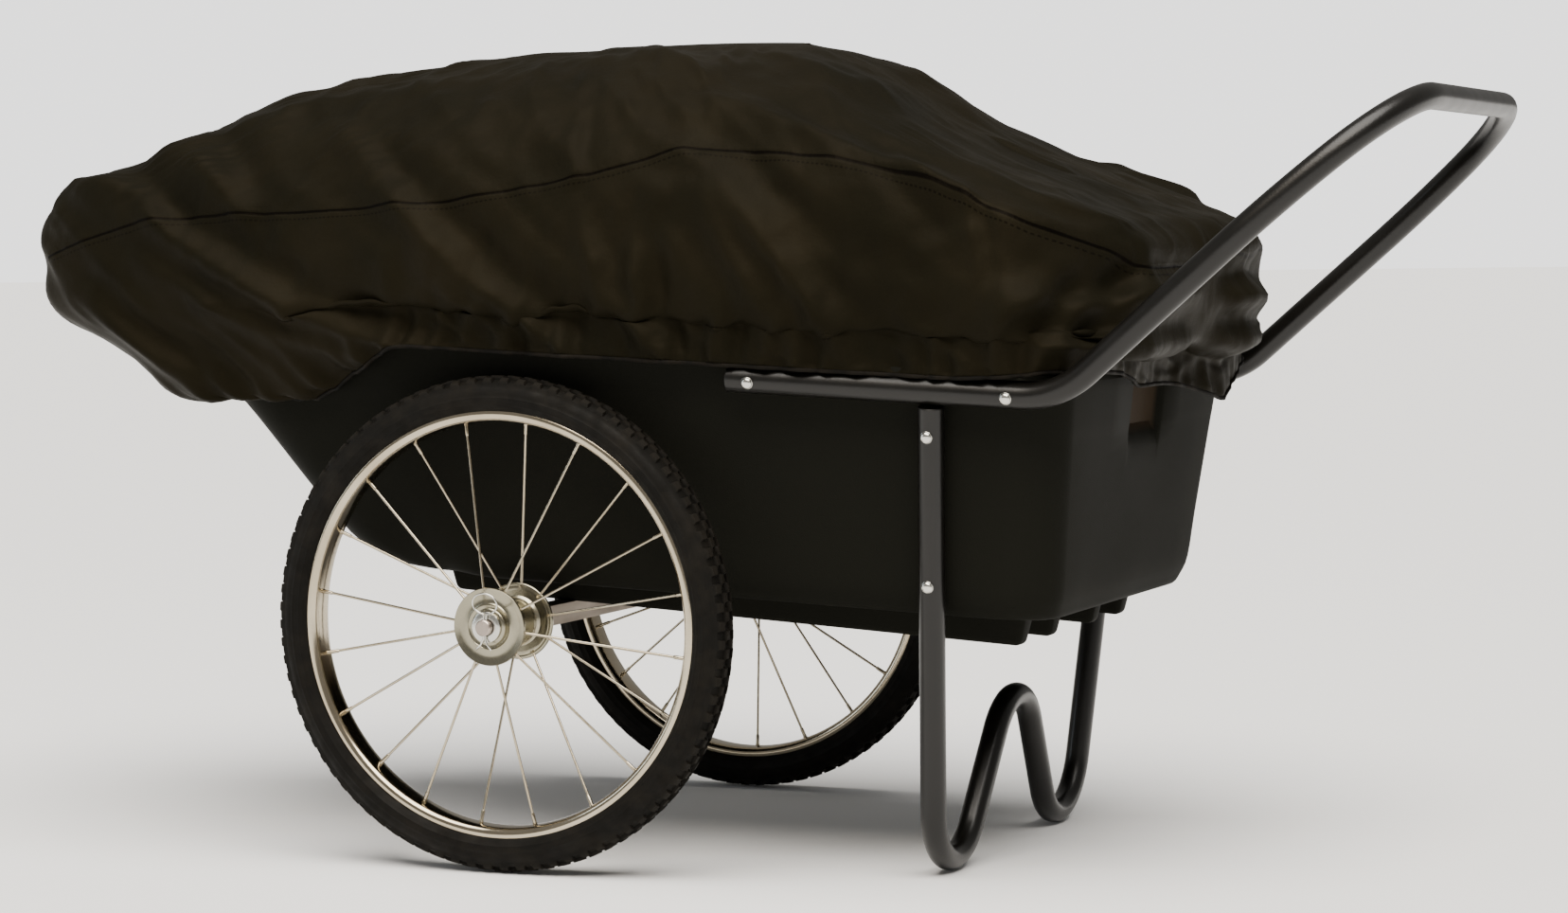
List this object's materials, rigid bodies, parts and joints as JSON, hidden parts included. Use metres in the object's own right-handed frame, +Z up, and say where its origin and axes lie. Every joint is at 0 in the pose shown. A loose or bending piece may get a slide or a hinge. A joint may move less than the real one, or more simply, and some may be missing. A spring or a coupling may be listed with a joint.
{
  "type": "two-wheel wheelbarrow",
  "caption": "Garden wheelbarrow with a deep moulded tub, large spoked wheels, a bent-tube handle and leg stand, and an elastic-hemmed cloth cover.",
  "frame": {"origin": "on the ground, under the middle of the overall length and width", "axes": "+X from the nose towards the handle, +Z up, +Y across; the wheel nearest in the picture is on -Y"},
  "size_m": [1.4734, 0.707, 0.8152],
  "materials": {
    "tub_poly": "satin black moulded polyethylene",
    "cover_cloth": "thin proofed nylon, very dark olive brown",
    "elastic": "covered elastic cord",
    "tube_paint": "black powder coat",
    "plug": "black moulded plug",
    "tyre": "black rubber",
    "inner_tube": "black butyl",
    "rim": "bright plated steel",
    "hub": "bright zinc",
    "bush": "zinc plated",
    "beam_steel": "dull galvanised",
    "axle_steel": "bare drawn steel",
    "fastener": "zinc plated"
  },
  "bodies": {
    "frame": {"tub": "tub_poly", "handle": "tube_paint", "leg_stand": "tube_paint", "axle_beam": "beam_steel", "axle_rod": "axle_steel", "left_outer_washer": "fastener", "left_inner_washer": "fastener", "left_cotter_pin": "fastener", "left_axle_bolt": "fastener", "left_axle_nut": "fastener", "left_tub_screw": "fastener", "left_front_handle_bolt": "fastener", "left_front_handle_nut": "fastener", "left_rear_handle_bolt": "fastener", "left_rear_handle_nut": "fastener", "left_lower_leg_bolt": "fastener", "left_lower_leg_nut": "fastener", "left_upper_leg_bolt": "fastener", "left_upper_leg_nut": "fastener", "left_handle_plug": "plug", "left_leg_plug": "plug", "right_outer_washer": "fastener", "right_inner_washer": "fastener", "right_cotter_pin": "fastener", "right_axle_bolt": "fastener", "right_axle_nut": "fastener", "right_tub_screw": "fastener", "right_front_handle_bolt": "fastener", "right_front_handle_nut": "fastener", "right_rear_handle_bolt": "fastener", "right_rear_handle_nut": "fastener", "right_lower_leg_bolt": "fastener", "right_lower_leg_nut": "fastener", "right_upper_leg_bolt": "fastener", "right_upper_leg_nut": "fastener", "right_handle_plug": "plug", "right_leg_plug": "plug"},
    "left_wheel": {"left_tyre": "tyre", "left_inner_tube": "inner_tube", "left_rim": "rim", "left_hub_barrel": "hub", "left_outer_flange": "hub", "left_inner_flange": "hub", "left_outer_bush": "bush", "left_inner_bush": "bush"},
    "right_wheel": {"right_tyre": "tyre", "right_inner_tube": "inner_tube", "right_rim": "rim", "right_hub_barrel": "hub", "right_outer_flange": "hub", "right_inner_flange": "hub", "right_outer_bush": "bush", "right_inner_bush": "bush"},
    "cover": {"cover": "cover_cloth", "cover_elastic": "elastic"}
  },
  "joints": [
    {"name": "left_wheel_spin", "type": "hinge", "parent": "frame", "child": "left_wheel", "pos_m": [-0.1547, 0.3105, 0.242], "axis": [0, 1, 0], "continuous": true},
    {"name": "right_wheel_spin", "type": "hinge", "parent": "frame", "child": "right_wheel", "pos_m": [-0.1547, -0.3105, 0.242], "axis": [0, 1, 0], "continuous": true},
    {"name": "cover_lift", "type": "slide", "parent": "frame", "child": "cover", "axis": [0, 0, 1], "range_m": [0, 0.6]}
  ]
}
